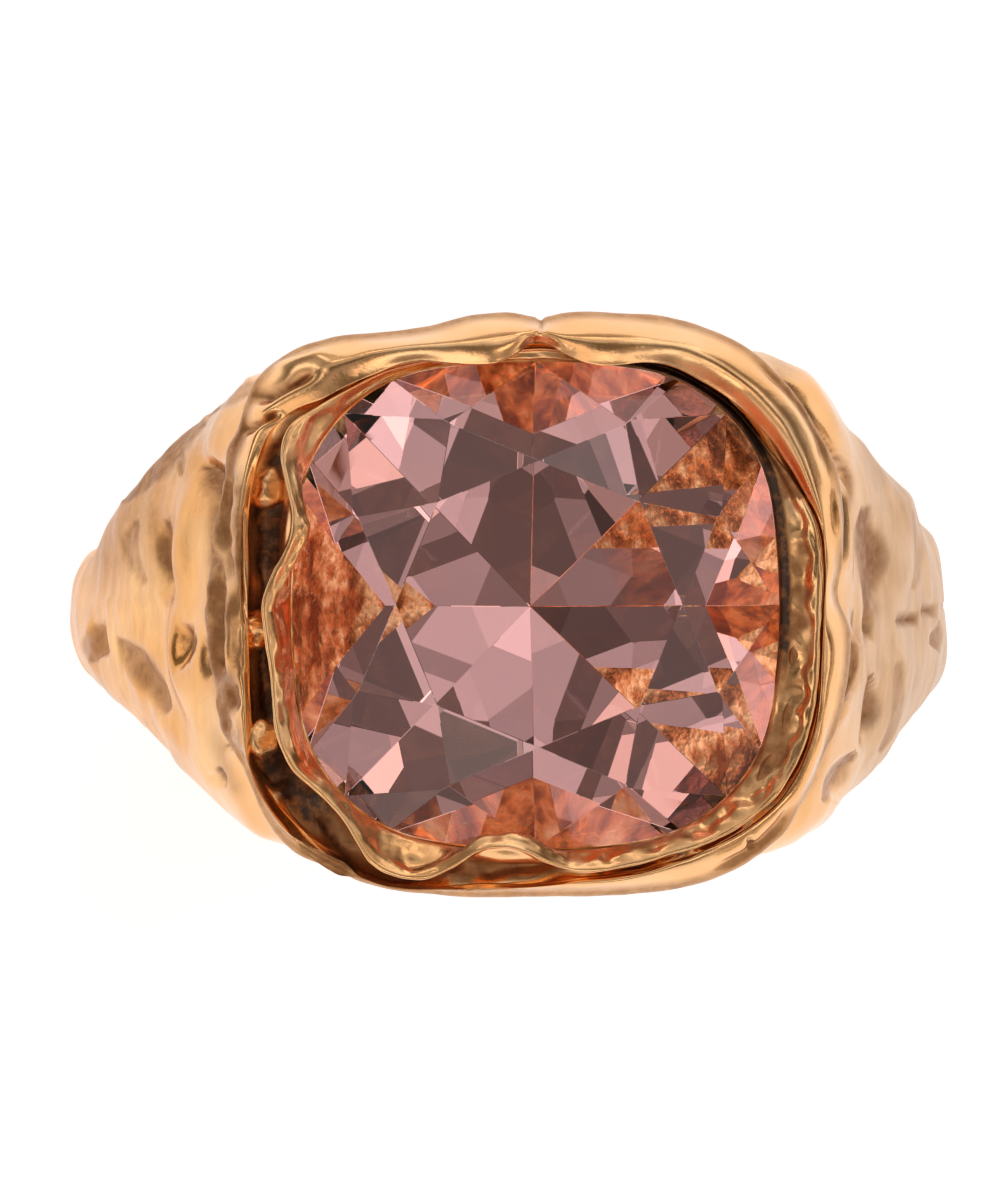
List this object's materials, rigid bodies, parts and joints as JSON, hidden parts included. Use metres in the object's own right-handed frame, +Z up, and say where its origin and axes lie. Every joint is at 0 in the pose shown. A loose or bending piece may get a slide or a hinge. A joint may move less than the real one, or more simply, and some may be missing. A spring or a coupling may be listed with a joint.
{
  "type": "cocktail ring",
  "caption": "Gold-plated cast dress ring: flaring shoulders, rolled head frame and a wavy collar around a faceted rose cushion crystal.",
  "frame": {"origin": "centre of the finger bore, on its axis", "axes": "+Z up from the finger through the stone, +Y along the finger, +X towards the shoulder without the slot"},
  "size_m": [0.0224, 0.0144, 0.0272],
  "materials": {
    "cast_gold": "gold plate over cast brass, melted-looking surface, polished and worn",
    "collar_gold": "gold plate, bright polish on the lip",
    "solder": "plated solder",
    "rose_crystal": "polished facets, smoky rose",
    "clear_cement": "clear jewellery cement"
  },
  "bodies": {
    "root": {"shank": "cast_gold", "head_frame": "cast_gold", "bezel_collar": "collar_gold", "seat_ledge": "cast_gold", "back_plate": "cast_gold", "solder_tacks": "solder", "crystal": "rose_crystal", "cement": "clear_cement"}
  },
  "joints": []
}
